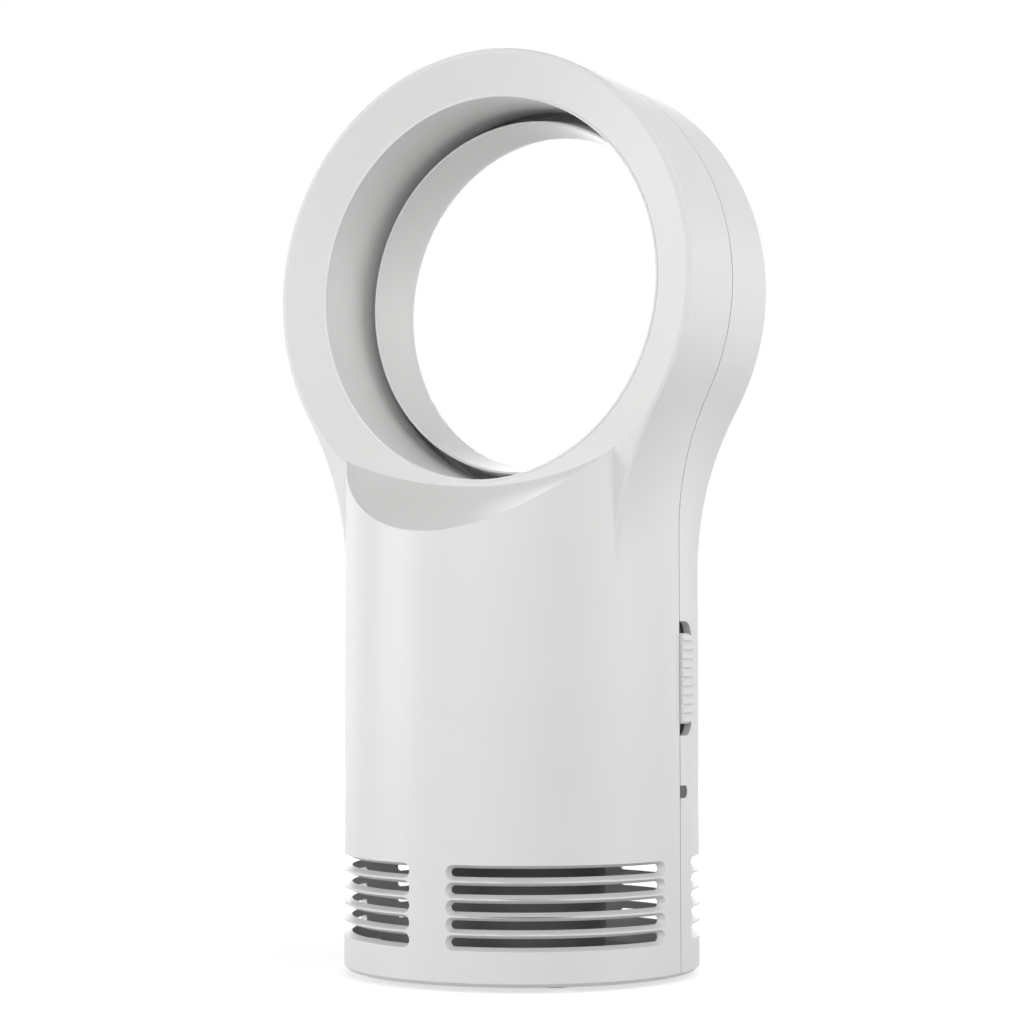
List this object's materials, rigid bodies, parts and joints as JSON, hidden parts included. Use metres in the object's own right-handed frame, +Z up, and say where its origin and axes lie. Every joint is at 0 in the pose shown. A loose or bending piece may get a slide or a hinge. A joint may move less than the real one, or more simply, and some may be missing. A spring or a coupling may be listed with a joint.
{
  "type": "space heater",
  "caption": "Bladeless tabletop space heater: an upright air ring on a round column with intake slots, a ribbed slide switch and an indicator on its side.",
  "frame": {"origin": "on the surface that the feet stand on, below the column's axis", "axes": "+Z up along the column's axis, -Y the front that blows the air, +X the side with the switch"},
  "size_m": [0.1334, 0.1, 0.2581],
  "materials": {
    "shell_abs": "fine satin moulding, white ABS",
    "base_abs": "plain moulding, grey ABS",
    "foot_rubber": "moulded",
    "screw_steel": "zinc plated",
    "filter_foam": "open-cell polyurethane foam, grey",
    "duct_plastic": "plain moulding, black polyamide",
    "motor_steel": "drawn, zinc plated",
    "motor_plastic": "plain moulding",
    "tab_brass": "stamped, tinned",
    "fan_plastic": "plain moulding, grey ABS",
    "heat_plastic": "glass-filled moulding",
    "heater_aluminium": "rolled strip",
    "thermostat_resin": "pressed phenolic",
    "fuse_metal": "tinned case",
    "board_laminate": "solder-masked glass laminate",
    "switch_metal": "stamped frame",
    "stem_plastic": "moulded acetal",
    "lamp_epoxy": "cast epoxy",
    "lens_acrylic": "smoked acrylic",
    "gland_rubber": "moulded, white",
    "terminal_plastic": "moulded polyamide"
  },
  "bodies": {
    "housing": {"front_shell": "shell_abs", "rear_shell": "shell_abs", "base_plate": "base_abs", "rubber_feet": "foot_rubber", "base_screws": "screw_steel", "shell_screws": "screw_steel", "motor_screws": "screw_steel", "board_screws": "screw_steel", "intake_filter": "filter_foam", "fan_duct": "duct_plastic", "motor_mount": "duct_plastic", "motor_can": "motor_steel", "motor_cap": "motor_plastic", "motor_tabs": "tab_brass", "heater_tabs": "tab_brass", "heater_tray": "heat_plastic", "heater_retainer": "heat_plastic", "heater_side_bars": "heater_aluminium", "ptc_bars": "heater_aluminium", "heater_fins": "heater_aluminium", "thermostat": "thermostat_resin", "thermal_fuse": "fuse_metal", "control_board": "board_laminate", "slide_switch": "switch_metal", "indicator_led": "lamp_epoxy", "indicator_lens": "lens_acrylic", "cord_gland": "gland_rubber", "terminal_block": "terminal_plastic"},
    "slider": {"slider_knob": "shell_abs", "switch_shutter": "stem_plastic", "switch_stem": "stem_plastic"},
    "rotor": {"impeller": "fan_plastic", "motor_shaft": "motor_steel"}
  },
  "joints": [
    {"name": "switch_slide", "type": "slide", "parent": "housing", "child": "slider", "axis": [0, 0, 1], "range_m": [-0.003, 0.003]},
    {"name": "fan_spin", "type": "hinge", "parent": "housing", "child": "rotor", "pos_m": [0, 0, 0.05], "axis": [0, 0, 1], "continuous": true}
  ]
}
